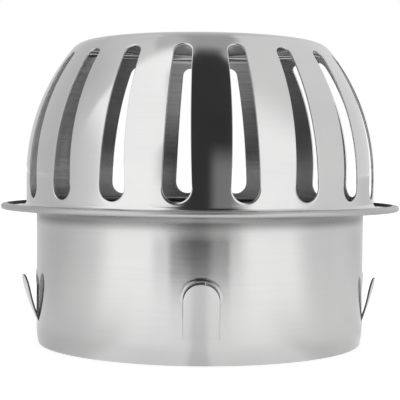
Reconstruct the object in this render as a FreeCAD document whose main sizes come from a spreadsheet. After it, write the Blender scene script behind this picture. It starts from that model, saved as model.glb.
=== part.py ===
import FreeCAD, Part
import os
from math import asin, cos, pi, radians, sin, sqrt

import Sketcher

# Domed floor drain grate on a sheet-metal pipe collar with lanced spring tabs.
# Millimetres, +Z up. The origin is the centre of the collar's lower rim, which the drain stands on.
# Both pieces are drawn with their first slot or tab on +X, and their Placement turns them about Z.

SIZES = {
    # radii step outwards from the sleeve, which fits the pipe, to the dome's wall and the flange's rim
    "sleeve_radius": 49.0,
    "dome_step": 3.05,
    "flange_width": 7.45,
    # height of the plane where the two flanges meet
    "collar_depth": 40.2,
    "rim_round": 0.18,
    # dome sheet and its meridian, from the foot flange up to the crown
    "dome_sheet": 0.5,
    "foot_bend": 1.1,
    "dome_straight": 9.2,
    "side_radius": 59.0,
    "side_sweep": 39.3,
    "shoulder_radius": 6.3,
    "crown_radius": 295.0,
    # tapered slots, punched square to a line that rises by punch_tilt
    "punch_tilt": 20.0,
    "slot_foot_height": 2.95,
    "slot_foot_radius": 3.85,
    "slot_end_setback": 2.0,
    "slot_head_radius": 2.45,
    # slots go round in three even runs, with one wide rib before the last run, which fills the turn
    "first_slot_bearing": -176.7,
    "front_slots": 9,
    "front_arc": 160.0,
    "right_slots": 6,
    "right_arc": 111.6,
    "wide_rib": 26.0,
    "left_slots": 3,
    # collar sheet, its bend under the flange and the lead-in at its lower rim
    "collar_sheet": 0.5,
    "collar_bend": 2.2,
    "lead_in_height": 6.0,
    "lead_in_setback": 0.6,
    # spring tabs and the windows that they are lanced from, with the cut's width between them
    "window_width": 9.7,
    "window_root": 7.2,
    "window_height": 15.0,
    "shear_gap": 0.3,
    # a tab bends out at its root and then curves back towards the upright
    "tab_bend": 1.2,
    "tab_lean": 22.5,
    "tab_curve": 52.0,
    # the front tab's bearing and its spacing to the side tabs; the back tab is midway between those
    "first_tab_bearing": -89.3,
    "right_tab_step": 83.3,
    "left_tab_step": 78.7,
}

DOME_RADIUS = "(dims.sleeve_radius + dims.dome_step)"
FLANGE_RADIUS = "(dims.sleeve_radius + dims.dome_step + dims.flange_width)"
SLOT_END_SWEEP = "(dims.side_sweep - dims.slot_end_setback)"
# a tab keeps the length of the metal that its window lost, so its tip drops as it leans out
TAB_TURN = ("((dims.window_height - dims.shear_gap - dims.tab_bend * dims.tab_lean * pi / 180)"
            " / dims.tab_curve * 180 / pi)")
TAB_REACH = ("(dims.tab_bend * sin(dims.tab_lean)"
             f" + dims.tab_curve * (sin(dims.tab_lean) - sin(dims.tab_lean - {TAB_TURN})))")
# the strip that the tabs are cut from runs past their tips by this factor
STRIP_SPARE = 1.15
# a rim's rounding stays under this share of its sheet
ROUND_LIMIT = 0.4
# lengths closer than this are the same length
SAME = 1e-6
# a sketch counts an edge's points from 1 up, and its own axes from -1 down
START, END, CENTRE = range(1, 4)
H_AXIS, V_AXIS = range(-1, -3, -1)
ORIGIN_POINT = (H_AXIS, START)

doc = FreeCAD.newDocument("floor_drain")


def fill_sheet():
    """Put every driving size into the document's spreadsheet under its own alias."""
    sheet = doc.addObject("Spreadsheet::Sheet", "dims")
    for row, (alias, value) in enumerate(SIZES.items(), start=1):
        sheet.set(f"A{row}", alias)
        sheet.set(f"B{row}", str(value))
        sheet.setAlias(f"B{row}", alias)
    doc.recompute()
    return sheet


def value(expression):
    return float(dims.evalExpression(expression))


def origin_plane(body, role):
    return next(feature for feature in body.Origin.OriginFeatures if feature.Role == role)


def new_body(name):
    return doc.addObject("PartDesign::Body", name)


def new_sketch(body, name, role):
    sketch = body.newObject("Sketcher::SketchObject", name)
    sketch.AttachmentSupport = [(origin_plane(body, role), "")]
    sketch.MapMode = "FlatFace"
    return sketch


def line(start, end):
    return Part.LineSegment(FreeCAD.Vector(*start, 0), FreeCAD.Vector(*end, 0))


def arc(centre, radius, start_angle, end_angle):
    """Counter-clockwise arc between two angles in radians."""
    circle = Part.Circle(FreeCAD.Vector(*centre, 0), FreeCAD.Vector(0, 0, 1), radius)
    return Part.ArcOfCircle(circle, start_angle, end_angle)


def join(sketch, kind, first, first_end, second, second_end):
    sketch.addConstraint(Sketcher.Constraint(kind, first, first_end, second, second_end))


def meet(sketch, *ends):
    join(sketch, "Coincident", *ends)


def flow(sketch, *ends):
    join(sketch, "Tangent", *ends)


def level(sketch, *edges):
    for edge in edges:
        sketch.addConstraint(Sketcher.Constraint("Horizontal", edge))


def upright(sketch, *edges):
    for edge in edges:
        sketch.addConstraint(Sketcher.Constraint("Vertical", edge))


def on_axis(sketch, axis, *points):
    for edge, end in points:
        sketch.addConstraint(Sketcher.Constraint("PointOnObject", edge, end, axis))


def drive(sketch, name, expression, kind, *references):
    """Add a dimension and bind it to the spreadsheet."""
    start_value = value(expression)
    if kind == "Angle":
        start_value = radians(start_value)
    index = sketch.addConstraint(Sketcher.Constraint(kind, *references, start_value))
    sketch.renameConstraint(index, name)
    sketch.setExpression(f"Constraints.{name}", expression)


def revolve(body, sketch, name):
    feature = body.newObject("PartDesign::Revolution", name)
    feature.Profile = sketch
    feature.ReferenceAxis = (sketch, ["V_Axis"])
    feature.Angle = 360
    doc.recompute()
    return feature


def round_rim(body, base, name, sheet):
    """Round the two edges of the flange's outer rim, as far as its sheet allows."""
    radius = value(FLANGE_RADIUS)
    edges = []
    for number, edge in enumerate(base.Shape.Edges, start=1):
        if edge.Degenerated or not isinstance(edge.Curve, Part.Circle):
            continue
        if abs(edge.Curve.Radius - radius) < SAME:
            edges.append(f"Edge{number}")
    fillet = body.newObject("PartDesign::Fillet", name)
    fillet.Base = (base, edges)
    fillet.setExpression("Radius", f"min(dims.rim_round; {ROUND_LIMIT} * {sheet})")
    doc.recompute()
    return fillet


def punch(body, sketch, name):
    """Cut a sketch's outline outwards through the wall in front of it."""
    before = body.Shape.Volume
    pocket = body.newObject("PartDesign::Pocket", name)
    pocket.Profile = sketch
    pocket.Type = "ThroughAll"
    pocket.Reversed = True
    doc.recompute()
    if body.Shape.Volume >= before:
        raise RuntimeError(f"{name} cut nothing")
    return pocket


def pattern_round(body, feature, axis_sketch, name):
    pattern = body.newObject("PartDesign::PolarPattern", name)
    pattern.Originals = [feature]
    pattern.Axis = (axis_sketch, ["V_Axis"])
    body.Tip = pattern
    return pattern


def turn_about_z(part, expression):
    """Turn a finished piece about the drain's axis by an angle from the spreadsheet."""
    # any small turn sets the axis, and the expression then replaces its angle
    small_turn = FreeCAD.Rotation(FreeCAD.Vector(0, 0, 1), 1)
    part.Placement = FreeCAD.Placement(FreeCAD.Vector(), small_turn)
    part.setExpression("Placement.Rotation.Angle", expression)


def draw_dome_meridian(sketch):
    """Half section of the dome's sheet: flange, foot bend, wall, side, shoulder and crown."""
    s = SIZES
    seat = s["collar_depth"]
    sheet = s["dome_sheet"]
    radius = value(DOME_RADIUS)
    bend = s["foot_bend"]
    side = s["side_radius"]
    shoulder = s["shoulder_radius"]
    crown = s["crown_radius"]
    sweep = radians(s["side_sweep"])
    bend_at = (radius + bend, seat + sheet + bend)
    side_at = (radius - side, seat + s["dome_straight"])
    shoulder_at = (side_at[0] + (side - shoulder) * cos(sweep), side_at[1] + (side - shoulder) * sin(sweep))
    crown_at = (0.0, shoulder_at[1] - sqrt((crown - shoulder) ** 2 - shoulder_at[0] ** 2))
    crown_angle = pi / 2 - asin(shoulder_at[0] / (crown - shoulder))
    inner = radius - sheet
    rim = value(FLANGE_RADIUS)
    top = crown_at[1] + crown
    sketch.addGeometry([
        line((bend_at[0], seat), (rim, seat)),
        line((rim, seat), (rim, seat + sheet)),
        line((rim, seat + sheet), (bend_at[0], seat + sheet)),
        arc(bend_at, bend, pi, 1.5 * pi),
        line((radius, bend_at[1]), (radius, side_at[1])),
        arc(side_at, side, 0, sweep),
        arc(shoulder_at, shoulder, sweep, crown_angle),
        arc(crown_at, crown, crown_angle, pi / 2),
        line((0, top), (0, top - sheet)),
        arc(crown_at, crown - sheet, crown_angle, pi / 2),
        arc(shoulder_at, shoulder - sheet, sweep, crown_angle),
        arc(side_at, side - sheet, 0, sweep),
        line((inner, side_at[1]), (inner, bend_at[1])),
        arc(bend_at, bend + sheet, pi, 1.5 * pi),
    ], False)
    (under, edge, over, foot, wall, side_out, shoulder_out, crown_out, pole,
     crown_in, shoulder_in, side_in, wall_in, foot_in) = range(14)
    meet(sketch, under, END, edge, START)
    meet(sketch, edge, END, over, START)
    flow(sketch, over, END, foot, END)
    flow(sketch, foot, START, wall, START)
    flow(sketch, wall, END, side_out, START)
    flow(sketch, side_out, END, shoulder_out, START)
    flow(sketch, shoulder_out, END, crown_out, START)
    meet(sketch, crown_out, END, pole, START)
    meet(sketch, pole, END, crown_in, END)
    flow(sketch, crown_in, START, shoulder_in, END)
    flow(sketch, shoulder_in, START, side_in, END)
    flow(sketch, side_in, START, wall_in, START)
    flow(sketch, wall_in, END, foot_in, START)
    flow(sketch, foot_in, END, under, START)
    level(sketch, under, over)
    upright(sketch, edge, wall, wall_in)
    on_axis(sketch, V_AXIS, (pole, START), (pole, END), (crown_out, CENTRE))
    offsets = ((crown_out, crown_in), (shoulder_out, shoulder_in), (side_out, side_in), (foot, foot_in))
    for outer, offset in offsets:
        meet(sketch, outer, CENTRE, offset, CENTRE)
    drive(sketch, "flange_radius", FLANGE_RADIUS, "DistanceX", *ORIGIN_POINT, edge, START)
    drive(sketch, "seat_height", "dims.collar_depth", "DistanceY", *ORIGIN_POINT, edge, START)
    drive(sketch, "dome_radius", DOME_RADIUS, "DistanceX", *ORIGIN_POINT, wall, END)
    drive(sketch, "foot_bend", "dims.foot_bend", "Radius", foot)
    drive(sketch, "dome_straight", "dims.dome_straight", "DistanceY", edge, START, wall, END)
    drive(sketch, "side_radius", "dims.side_radius", "Radius", side_out)
    drive(sketch, "side_sweep", "dims.side_sweep", "Angle", side_out)
    drive(sketch, "shoulder_radius", "dims.shoulder_radius", "Radius", shoulder_out)
    drive(sketch, "crown_radius", "dims.crown_radius", "Radius", crown_out)
    drive(sketch, "dome_sheet", "dims.dome_sheet", "DistanceY", pole, END, pole, START)


def draw_slot(sketch):
    """Tapered slot with round ends, placed so that its ends meet the wall where the sizes say."""
    s = SIZES
    foot_radius = s["slot_foot_radius"]
    head_radius = s["slot_head_radius"]
    tilt = "dims.punch_tilt"
    foot_middle = (f"(dims.collar_depth + dims.slot_foot_height) * cos({tilt})"
                   f" - {DOME_RADIUS} * sin({tilt}) + dims.slot_foot_radius")
    head_height = f"(dims.collar_depth + dims.dome_straight + dims.side_radius * sin({SLOT_END_SWEEP}))"
    head_reach = f"({DOME_RADIUS} - dims.side_radius * (1 - cos({SLOT_END_SWEEP})))"
    head_middle = f"{head_height} * cos({tilt}) - {head_reach} * sin({tilt}) - dims.slot_head_radius"
    foot_at = value(foot_middle)
    head_at = value(head_middle)
    lean = asin((foot_radius - head_radius) / (head_at - foot_at))
    foot_edge = (foot_radius * cos(lean), foot_at + foot_radius * sin(lean))
    head_edge = (head_radius * cos(lean), head_at + head_radius * sin(lean))
    sketch.addGeometry([
        arc((0, foot_at), foot_radius, pi - lean, 2 * pi + lean),
        line(foot_edge, head_edge),
        arc((0, head_at), head_radius, lean, pi - lean),
        line((-head_edge[0], head_edge[1]), (-foot_edge[0], foot_edge[1])),
    ], False)
    foot, right, head, left = range(4)
    flow(sketch, foot, END, right, START)
    flow(sketch, right, END, head, START)
    flow(sketch, head, END, left, START)
    flow(sketch, left, END, foot, START)
    on_axis(sketch, V_AXIS, (foot, CENTRE), (head, CENTRE))
    drive(sketch, "foot_radius", "dims.slot_foot_radius", "Radius", foot)
    drive(sketch, "head_radius", "dims.slot_head_radius", "Radius", head)
    drive(sketch, "foot_middle", foot_middle, "DistanceY", *ORIGIN_POINT, foot, CENTRE)
    drive(sketch, "head_middle", head_middle, "DistanceY", *ORIGIN_POINT, head, CENTRE)


def slot_spacings():
    """Angles from slot to slot: three even runs, with the wide rib before the last one."""
    s = SIZES
    front_steps = s["front_slots"] - 1
    left_arc = 360 - s["front_arc"] - s["right_arc"] - s["wide_rib"]
    front = [s["front_arc"] / front_steps] * front_steps
    right = [s["right_arc"] / s["right_slots"]] * s["right_slots"]
    left = [left_arc / s["left_slots"]] * (s["left_slots"] - 1)
    return front + right + [s["wide_rib"]] + left


def make_dome_grate():
    body = new_body("dome_grate")
    meridian = new_sketch(body, "dome_meridian", "XZ_Plane")
    draw_dome_meridian(meridian)
    shell = revolve(body, meridian, "dome_shell")
    round_rim(body, shell, "dome_rim", "dims.dome_sheet")
    slot = new_sketch(body, "slot_outline", "YZ_Plane")
    slot.AttachmentOffset = FreeCAD.Placement(
        FreeCAD.Vector(), FreeCAD.Rotation(FreeCAD.Vector(-1, 0, 0), SIZES["punch_tilt"]))
    slot.setExpression("AttachmentOffset.Rotation.Angle", "dims.punch_tilt")
    # the punch starts half a slot's width inside the wall
    start = (f"(({DOME_RADIUS} - dims.dome_sheet) * cos(dims.punch_tilt)"
             " + (dims.collar_depth + dims.slot_foot_height) * sin(dims.punch_tilt)"
             " - dims.slot_foot_radius)")
    slot.setExpression("AttachmentOffset.Base.z", f"{start} * cos(dims.punch_tilt)")
    slot.setExpression("AttachmentOffset.Base.y", f"{start} * sin(dims.punch_tilt)")
    draw_slot(slot)
    doc.recompute()
    cut = punch(body, slot, "slot")
    slots = pattern_round(body, cut, meridian, "slots")
    slots.Mode = "Spacing"
    slots.Occurrences = len(slot_spacings()) + 1
    slots.setExpression("Occurrences", "dims.front_slots + dims.right_slots + dims.left_slots")
    slots.Spacings = slot_spacings()
    turn_about_z(body, "dims.first_slot_bearing")
    return body


def draw_collar_section(sketch):
    """Half section of the collar's sheet: flange, bend, sleeve and lead-in."""
    s = SIZES
    seat = s["collar_depth"]
    sheet = s["collar_sheet"]
    radius = s["sleeve_radius"]
    bend = s["collar_bend"]
    rim = value(FLANGE_RADIUS)
    start = s["lead_in_height"]
    setback = s["lead_in_setback"]
    bend_at = (radius + bend, seat - sheet - bend)
    curl = (start ** 2 + setback ** 2) / (2 * setback)
    curl_at = (radius - curl, start)
    outer_angle = asin(start / curl)
    inner_angle = asin(start / (curl - sheet))
    lower_outer = radius - setback
    lower_inner = curl_at[0] + (curl - sheet) * cos(inner_angle)
    sketch.addGeometry([
        line((bend_at[0], seat), (rim, seat)),
        line((rim, seat), (rim, seat - sheet)),
        line((rim, seat - sheet), (bend_at[0], seat - sheet)),
        arc(bend_at, bend, pi / 2, pi),
        line((radius, bend_at[1]), (radius, start)),
        arc(curl_at, curl, -outer_angle, 0),
        line((lower_outer, 0), (lower_inner, 0)),
        arc(curl_at, curl - sheet, -inner_angle, 0),
        line((radius - sheet, start), (radius - sheet, bend_at[1])),
        arc(bend_at, bend + sheet, pi / 2, pi),
    ], False)
    over, edge, under, bend_out, wall, curl_out, lower, curl_in, wall_in, bend_in = range(10)
    meet(sketch, over, END, edge, START)
    meet(sketch, edge, END, under, START)
    flow(sketch, under, END, bend_out, START)
    flow(sketch, bend_out, END, wall, START)
    flow(sketch, wall, END, curl_out, END)
    meet(sketch, curl_out, START, lower, START)
    meet(sketch, lower, END, curl_in, START)
    flow(sketch, curl_in, END, wall_in, START)
    flow(sketch, wall_in, END, bend_in, END)
    flow(sketch, bend_in, START, over, START)
    level(sketch, over, under, lower)
    upright(sketch, edge, wall, wall_in)
    on_axis(sketch, H_AXIS, (lower, START))
    meet(sketch, bend_out, CENTRE, bend_in, CENTRE)
    meet(sketch, curl_out, CENTRE, curl_in, CENTRE)
    drive(sketch, "flange_radius", FLANGE_RADIUS, "DistanceX", *ORIGIN_POINT, edge, START)
    drive(sketch, "collar_depth", "dims.collar_depth", "DistanceY", *ORIGIN_POINT, edge, START)
    drive(sketch, "sleeve_radius", "dims.sleeve_radius", "DistanceX", *ORIGIN_POINT, wall, START)
    drive(sketch, "collar_bend", "dims.collar_bend", "Radius", bend_out)
    drive(sketch, "collar_sheet", "dims.collar_sheet", "DistanceY", edge, END, edge, START)
    drive(sketch, "lead_in_height", "dims.lead_in_height", "DistanceY", *ORIGIN_POINT, wall, END)
    drive(sketch, "lead_in_setback", "dims.lead_in_setback", "DistanceX", lower, START, wall, END)


def draw_arch(sketch, width, root, top):
    """Round-topped outline: each of its three sizes is an expression of the spreadsheet."""
    half = value(width) / 2
    low = value(root)
    spring = value(top) - half
    sketch.addGeometry([
        line((-half, low), (half, low)),
        line((half, low), (half, spring)),
        arc((0, spring), half, 0, pi),
        line((-half, spring), (-half, low)),
    ], False)
    sill, right, head, left = range(4)
    meet(sketch, sill, END, right, START)
    flow(sketch, right, END, head, START)
    flow(sketch, head, END, left, START)
    meet(sketch, left, END, sill, START)
    level(sketch, sill)
    upright(sketch, right, left)
    on_axis(sketch, V_AXIS, (head, CENTRE))
    drive(sketch, "arch_width", width, "DistanceX", sill, START, sill, END)
    drive(sketch, "arch_root", root, "DistanceY", *ORIGIN_POINT, sill, START)
    drive(sketch, "arch_spring", f"{top} - ({width}) / 2", "DistanceY", *ORIGIN_POINT, head, CENTRE)


def draw_tab_strip(sketch):
    """Half section of the strip that the tabs are cut from: a bend out of the wall and a curved blade."""
    s = SIZES
    radius = s["sleeve_radius"]
    sheet = s["collar_sheet"]
    root = s["window_root"]
    bend = s["tab_bend"]
    curve = s["tab_curve"]
    lean = radians(s["tab_lean"])
    reach = f"{TAB_REACH} * {STRIP_SPARE}"
    bend_at = (radius + bend, root)
    curve_at = (bend_at[0] - (bend + curve) * cos(lean), bend_at[1] + (bend + curve) * sin(lean))
    tip_angle = -asin((curve_at[1] - root - value(reach)) / curve)

    def on_blade(face):
        return (curve_at[0] + face * cos(tip_angle), curve_at[1] + face * sin(tip_angle))

    sketch.addGeometry([
        line((radius - sheet, root), (radius, root)),
        arc(bend_at, bend, pi - lean, pi),
        arc(curve_at, curve, -lean, tip_angle),
        line(on_blade(curve), on_blade(curve - sheet)),
        arc(curve_at, curve - sheet, -lean, tip_angle),
        arc(bend_at, bend + sheet, pi - lean, pi),
    ], False)
    sill, bend_out, blade_out, tip, blade_in, bend_in = range(6)
    meet(sketch, sill, END, bend_out, END)
    flow(sketch, bend_out, START, blade_out, START)
    meet(sketch, blade_out, END, tip, START)
    meet(sketch, tip, END, blade_in, END)
    flow(sketch, blade_in, START, bend_in, START)
    meet(sketch, bend_in, END, sill, START)
    meet(sketch, bend_out, CENTRE, bend_in, CENTRE)
    meet(sketch, blade_out, CENTRE, blade_in, CENTRE)
    level(sketch, sill)
    sketch.addConstraint(Sketcher.Constraint("PointOnObject", bend_out, CENTRE, sill))
    sketch.addConstraint(Sketcher.Constraint("PointOnObject", blade_out, CENTRE, tip))
    drive(sketch, "sleeve_radius", "dims.sleeve_radius", "DistanceX", *ORIGIN_POINT, sill, END)
    drive(sketch, "strip_root", "dims.window_root", "DistanceY", *ORIGIN_POINT, sill, END)
    drive(sketch, "collar_sheet", "dims.collar_sheet", "DistanceX", sill, START, sill, END)
    drive(sketch, "tab_bend", "dims.tab_bend", "Radius", bend_out)
    drive(sketch, "tab_lean", "dims.tab_lean", "Angle", bend_out)
    drive(sketch, "tab_curve", "dims.tab_curve", "Radius", blade_out)
    drive(sketch, "strip_reach", reach, "DistanceY", sill, END, blade_out, END)


def tab_spacings():
    """Angles from the front tab round to the right, back and left ones."""
    s = SIZES
    back_step = (360 - s["right_tab_step"] - s["left_tab_step"]) / 2
    return [s["right_tab_step"], back_step, back_step]


def space_tabs(pattern):
    pattern.Mode = "Spacing"
    pattern.Occurrences = len(tab_spacings()) + 1
    pattern.Spacings = tab_spacings()


def make_windowed_collar():
    body = new_body("windowed_collar")
    section = new_sketch(body, "collar_section", "XZ_Plane")
    draw_collar_section(section)
    shell = revolve(body, section, "collar_shell")
    round_rim(body, shell, "collar_rim", "dims.collar_sheet")
    outline = new_sketch(body, "window_outline", "YZ_Plane")
    draw_arch(outline, "dims.window_width", "dims.window_root", "dims.window_root + dims.window_height")
    doc.recompute()
    cut = punch(body, outline, "window")
    space_tabs(pattern_round(body, cut, section, "windows"))
    return body


def make_tabs():
    """Cut the tabs from a bent ring, each to an arch that clears its window by the shear gap."""
    ring = new_body("tab_ring")
    strip = new_sketch(ring, "tab_strip", "XZ_Plane")
    draw_tab_strip(strip)
    revolve(ring, strip, "tab_ring_shell")
    star = new_body("tab_star")
    outline = new_sketch(star, "tab_outline", "YZ_Plane")
    draw_arch(outline, "dims.window_width - 2 * dims.shear_gap", "dims.window_root",
              f"dims.window_root + {TAB_REACH}")
    prism = star.newObject("PartDesign::Pad", "tab_prism")
    prism.Profile = outline
    prism.setExpression("Length", FLANGE_RADIUS)
    doc.recompute()
    space_tabs(pattern_round(star, prism, outline, "tab_prisms"))
    tabs = doc.addObject("Part::Common", "spring_tabs")
    tabs.Base = ring
    tabs.Tool = star
    return tabs


def make_pipe_collar():
    collar = doc.addObject("Part::Fuse", "pipe_collar")
    collar.Base = make_windowed_collar()
    collar.Tool = make_tabs()
    turn_about_z(collar, "dims.first_tab_bearing")
    return collar


def check_document(parts):
    for item in doc.Objects:
        if "Invalid" in item.State or "Error" in item.State:
            raise RuntimeError(f"{item.Label} failed: {item.State}")
    for part in parts:
        shape = part.Shape
        if shape.isNull() or not shape.isValid() or len(shape.Solids) != 1:
            raise RuntimeError(f"{part.Label} is not one valid solid")
        box = shape.BoundBox
        print(f"{part.Label}: {len(shape.Faces)} faces, volume {shape.Volume:.1f} mm3,"
              f" z {box.ZMin:.3f} to {box.ZMax:.3f}")


dims = fill_sheet()
sub_parts = [make_dome_grate(), make_pipe_collar()]
doc.recompute()
check_document(sub_parts)
os.makedirs("parts", exist_ok=True)
for sub_part in sub_parts:
    sub_part.Shape.exportStep(f"parts/{sub_part.Label}.step")
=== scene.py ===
from collections import namedtuple
from math import asin, atan, cos, pi, radians, sin, sqrt, tan

import bmesh
import bpy
import numpy as np
from mathutils import Euler, Matrix, Vector


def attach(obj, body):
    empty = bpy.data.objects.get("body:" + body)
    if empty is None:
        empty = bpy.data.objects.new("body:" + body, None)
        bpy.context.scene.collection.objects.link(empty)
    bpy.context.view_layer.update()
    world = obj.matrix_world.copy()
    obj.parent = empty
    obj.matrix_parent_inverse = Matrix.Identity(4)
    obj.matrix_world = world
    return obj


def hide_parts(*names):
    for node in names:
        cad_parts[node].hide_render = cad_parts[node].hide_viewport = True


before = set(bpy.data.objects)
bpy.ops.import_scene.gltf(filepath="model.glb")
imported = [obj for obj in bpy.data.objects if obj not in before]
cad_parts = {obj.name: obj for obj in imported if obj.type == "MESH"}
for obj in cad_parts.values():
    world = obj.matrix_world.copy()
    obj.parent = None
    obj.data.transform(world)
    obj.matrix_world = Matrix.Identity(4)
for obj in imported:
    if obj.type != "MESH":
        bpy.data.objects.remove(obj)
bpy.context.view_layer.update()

# Sizes are in millimetres, as in the part's source; meshes are scaled to metres when they are made. Points
# that lie within WELD, in metres, become one, and edges shorter than SLIVER go.
MM = 0.001
WELD = 2e-7
SLIVER = 1e-8

SLEEVE_R = 49.0
DOME_R = 52.05
FLANGE_R = 59.5
SEAT = 40.2
SHEET = 0.5
RIM_ROUND = 0.18
# The photo shows the flange's rim as a smooth bead, so here the collar's edge is folded over the dome's
# flange. The bead has a radius and a middle (r, z); the fold's leg runs in from it to HEM_END_R, a gap above
# the dome's flange, and FOLD_ROOM keeps the fold's inside clear of that flange's edge.
HEM_R = 0.85
HEM_AT = (FLANGE_R - HEM_R, SEAT + 0.15)
HEM_END_R = 57.6
HEM_GAP = 0.1
FOLD_ROOM = 0.02
DOME_FLANGE_R = HEM_AT[0]

FOOT_BEND = 1.1
DOME_STRAIGHT = 9.2
SIDE_R = 59.0
SIDE_SWEEP = radians(39.3)
SHOULDER_R = 6.3
CROWN_R = 295.0

PUNCH_TILT = radians(20.0)
SLOT_FOOT_HEIGHT = 2.95
SLOT_FOOT_R = 3.85
SLOT_HEAD_R = 2.45
SLOT_END_SWEEP = radians(37.3)
FIRST_SLOT = radians(-176.7)
SLOT_STEPS = [radians(step) for step in [20.0] * 8 + [18.6] * 6 + [26.0] + [20.8] * 3]

COLLAR_BEND = 2.2
LEAD_IN_HEIGHT = 6.0
LEAD_IN_SETBACK = 0.6
LOWER_RIM_ROUND = 0.12
FIRST_TAB = radians(-89.3)
TAB_STEPS = [radians(step) for step in (83.3, 99.0, 99.0, 78.7)]
WINDOW_WIDTH = 9.7
WINDOW_ROOT = 7.2
WINDOW_HEIGHT = 15.0
# The drawing's gap round a tab is 0.3 all round; the photo shows it closed along the sides.
TIP_GAP = 0.3
SIDE_GAP = 0.03
TAB_BEND = 1.2
# The tabs were lanced and bent by hand, so the front, right, back and left ones differ a little: in their
# lean at the root, the radius that the blade curves back with, how far they sit below the drawing's place,
# their height against the drawing's, and the twist of the blade about its right edge, seen from outside. The
# twist grows up the blade, with a power of the height.
TabForm = namedtuple("TabForm", "lean curve drop height twist")
TAB_FORMS = [
    TabForm(radians(9.0), 200.0, 0.0, 1.0, 0.0),
    TabForm(radians(27.0), 45.0, 1.2, 0.97, radians(10.5)),
    TabForm(radians(22.5), 52.0, 0.4, 0.98, 0.0),
    TabForm(radians(21.5), 52.0, 0.4, 0.95, radians(-7.0)),
]
TWIST_GROWTH = 0.6

# Punching rolls the outer edge of a cut over, by a width and a depth, and leaves the inner edge nearly sharp.
# A slot's edge is rolled fully at its foot and by shares along its sides and at its head, and a window's edge
# fully at the top of its arch. Along a round end the roll falls off with this power of the angle's cosine.
SLOT_ROLL = (0.8, 0.34)
SLOT_SIDE_SHARE = 0.22
SLOT_HEAD_SHARE = 0.6
WINDOW_ROLL = (0.3, 0.3)
WINDOW_SIDE_SHARE = 0.2
TAB_ROLL = (0.12, 0.08)
# Lancing a tab outwards drags the edge of its window's arch out, by this much and over this width.
LANCE_LIP = 0.2
LANCE_LIP_WIDTH = 0.6
INNER_BREAK = 0.08
ROLL_FALLOFF = 0.7
ROLL_ANGLES = np.radians([18, 36, 54, 72, 90])
BREAK_ANGLES = np.radians([45, 90])

# Material slots. The third is the crown's inside on the dome, and on the collar the cut edges of all tabs but
# the front one, whose near black is partly the sheared edge's own dull grey and partly painted shade.
# The fifth is the end face of the fold's leg on the collar, painted nearly black as shade in the crevice.
OUTER, INNER, CROWN_INSIDE, FLANGE, SHADED_STEP = range(5)
SHADED_CUT = CROWN_INSIDE

# Rows of the mesh crowd towards the cut edges, by these powers of the row's share of the way.
RIB_CROWDING = 1.7
INNER_RIB_CROWDING = 1.5
WINDOW_CROWDING = 1.6
SILL_CROWDING = 1.4
ROOT_CROWDING = 1.9
# Rows this close to a bend keep the flat beside it flat.
FOOT_ROW = 0.15
COLLAR_ROW = 0.3

QUARTER = pi / 4
TOUCH = 1e-9


def arc(centre, radius, start, end, steps):
    """Points (r, z) along an arc, its start left out."""
    angles = np.linspace(start, end, steps + 1)[1:]
    return [(centre[0] + radius * cos(a), centre[1] + radius * sin(a)) for a in angles]


def run(start, end, steps):
    """Points along a straight line, its start left out."""
    return [(start[0] + (end[0] - start[0]) * k / steps, start[1] + (end[1] - start[1]) * k / steps)
            for k in range(1, steps + 1)]


def swell(start, end, steps):
    """Points along an S-shaped line that is level at both ends, its start left out."""
    shares = [k / steps for k in range(1, steps + 1)]
    return [(start[0] + (end[0] - start[0]) * t, start[1] + (end[1] - start[1]) * (1 - cos(pi * t)) / 2)
            for t in shares]


def around(r, z, phi):
    """Points at radius r, height z and bearing phi, as an array of x, y, z."""
    r, z, phi = np.broadcast_arrays(np.asarray(r, float), z, phi)
    return np.stack([r * np.cos(phi), r * np.sin(phi), z], axis=-1)


def edge_layers(roll, sheet, share=1.0):
    """(offset from the cut, depth under the outer face) for each ring of a cut edge, from outside in."""
    width, depth = (size * share for size in roll)
    layers = []
    for a in ROLL_ANGLES:
        layers.append((width * (1 - sin(a)), depth * (1 - cos(a))))
    layers.append((0.0, sheet - INNER_BREAK))
    for a in BREAK_ANGLES:
        layers.append((INNER_BREAK * (1 - cos(a)), sheet - INNER_BREAK * (1 - sin(a))))
    return layers


class SheetMesh:
    """Collects grids of points and joins them into one closed mesh."""

    def __init__(self):
        self.points = []
        self.faces = []
        self.slots = []
        self.count = 0

    def grid(self, layers, closed, slot=OUTER, skip=()):
        """Add quads between rows of points; skip lists the columns that are left open."""
        layers = np.asarray(layers, float)
        rows, columns, _ = layers.shape
        self.points.append(layers.reshape(-1, 3))
        last = columns if closed else columns - 1
        for row in range(rows - 1):
            for column in range(last):
                if column in skip:
                    continue
                a = self.count + row * columns + column
                b = self.count + row * columns + (column + 1) % columns
                self.faces.append((a, b, b + columns, a + columns))
                self.slots.append(slot)
        self.count += rows * columns

    def build(self, name, materials):
        """Make the mesh object, with its points joined and its faces smooth."""
        mesh = bpy.data.meshes.new(name)
        points = np.concatenate(self.points) * MM
        mesh.from_pydata(points.tolist(), [], self.faces)
        for material in materials:
            mesh.materials.append(material)
        mesh.polygons.foreach_set("material_index", self.slots)
        work = bmesh.new()
        work.from_mesh(mesh)
        bmesh.ops.remove_doubles(work, verts=work.verts, dist=WELD)
        bmesh.ops.dissolve_degenerate(work, edges=work.edges, dist=SLIVER)
        bmesh.ops.recalc_face_normals(work, faces=work.faces)
        for face in work.faces:
            face.smooth = True
        work.to_mesh(mesh)
        work.free()
        piece = bpy.data.objects.new(name, mesh)
        bpy.context.scene.collection.objects.link(piece)
        return piece


# Dome

FOOT_TOP = SEAT + SHEET + FOOT_BEND
SIDE_START = SEAT + DOME_STRAIGHT
WALL_RUN = SIDE_START - FOOT_TOP
SIDE_RUN = SIDE_R * SIDE_SWEEP
SLOT_BAND = (0.3, WALL_RUN + SIDE_RUN)
SLOT_SIDE_STEPS = 40
ARC_STEPS = 6
RIB_STEPS = 9
INNER_RIB_STEPS = 6


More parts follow.
